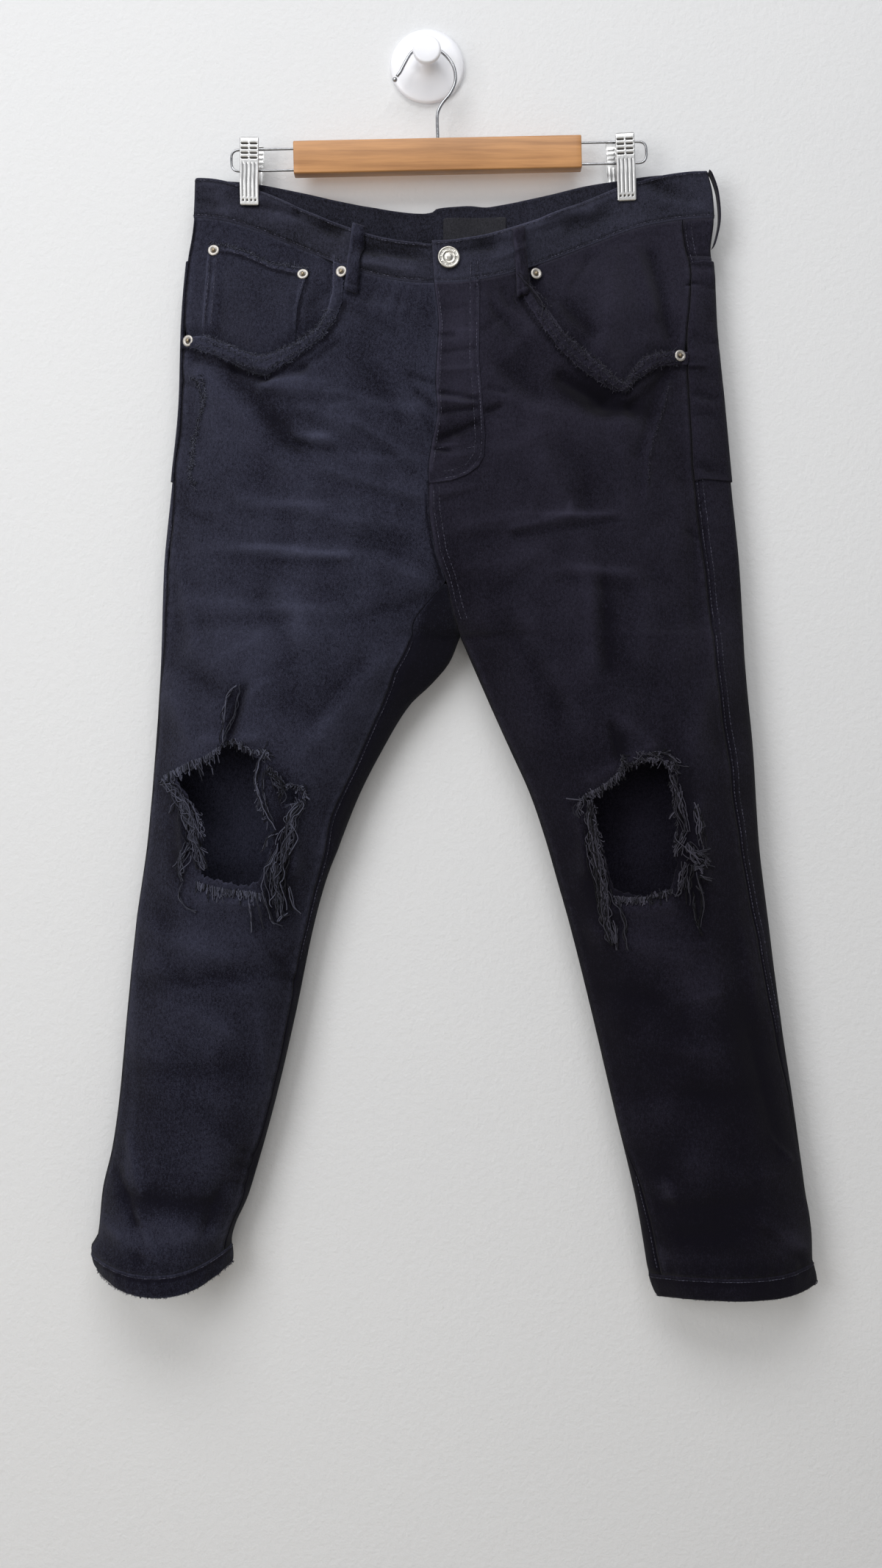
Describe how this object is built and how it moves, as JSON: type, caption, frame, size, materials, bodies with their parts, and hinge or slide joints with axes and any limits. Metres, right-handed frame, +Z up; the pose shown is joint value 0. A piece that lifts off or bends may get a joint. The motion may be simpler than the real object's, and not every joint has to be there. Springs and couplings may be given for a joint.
{
  "type": "ripped jeans on a clip hanger and wall hook",
  "caption": "Black ripped five-pocket jeans hung flat from a wooden bar hanger with steel clips, on a round white wall hook; torn knees, frayed pockets and hems",
  "frame": {"origin": "centre of the wall hook's flat back, on the wall plane", "axes": "+Z up, +Y into the wall, +X to the right as seen from the front (the wearer's left)"},
  "size_m": [0.6661, 0.074, 1.1713],
  "materials": {
    "denim_faded": "worn washed-black denim",
    "denim_black": "worn black denim",
    "label": "matte woven",
    "stud_metal": "satin nickel",
    "wood": "satin lacquer",
    "wire": "polished",
    "clip_steel": "bright pressed steel",
    "hook_plastic": "satin gloss"
  },
  "bodies": {
    "root": {"front_panel_right": "denim_faded", "back_panel_right": "denim_faded", "yoke_right": "denim_faded", "front_pocket_band_right": "denim_faded", "front_pocket_facing_right": "denim_faded", "back_pocket_right": "denim_faded", "coin_pocket": "denim_faded", "hem_right": "denim_faded", "belt_loop_front_right": "denim_faded", "belt_loop_side_right": "denim_faded", "front_panel_left": "denim_black", "back_panel_left": "denim_black", "yoke_left": "denim_black", "front_pocket_band_left": "denim_black", "front_pocket_facing_left": "denim_black", "back_pocket_left": "denim_black", "hem_left": "denim_black", "fly": "denim_black", "waistband": "denim_black", "belt_loop_front_left": "denim_black", "belt_loop_side_left": "denim_black", "belt_loop_back": "denim_black", "waist_label": "label", "waist_button": "stud_metal", "rivet_coin_outer": "stud_metal", "rivet_coin_inner": "stud_metal", "rivet_right_inner": "stud_metal", "rivet_right_outer": "stud_metal", "rivet_left_inner": "stud_metal", "rivet_left_outer": "stud_metal", "hanger_bar": "wood", "hanger_wire_left": "wire", "hanger_wire_right": "wire", "hanger_hook": "wire", "hanger_hook_tip": "wire", "clip_left_front": "clip_steel", "clip_left_back": "clip_steel", "clip_left_spring": "clip_steel", "clip_right_front": "clip_steel", "clip_right_back": "clip_steel", "clip_right_spring": "clip_steel", "wall_hook": "hook_plastic"}
  },
  "joints": []
}
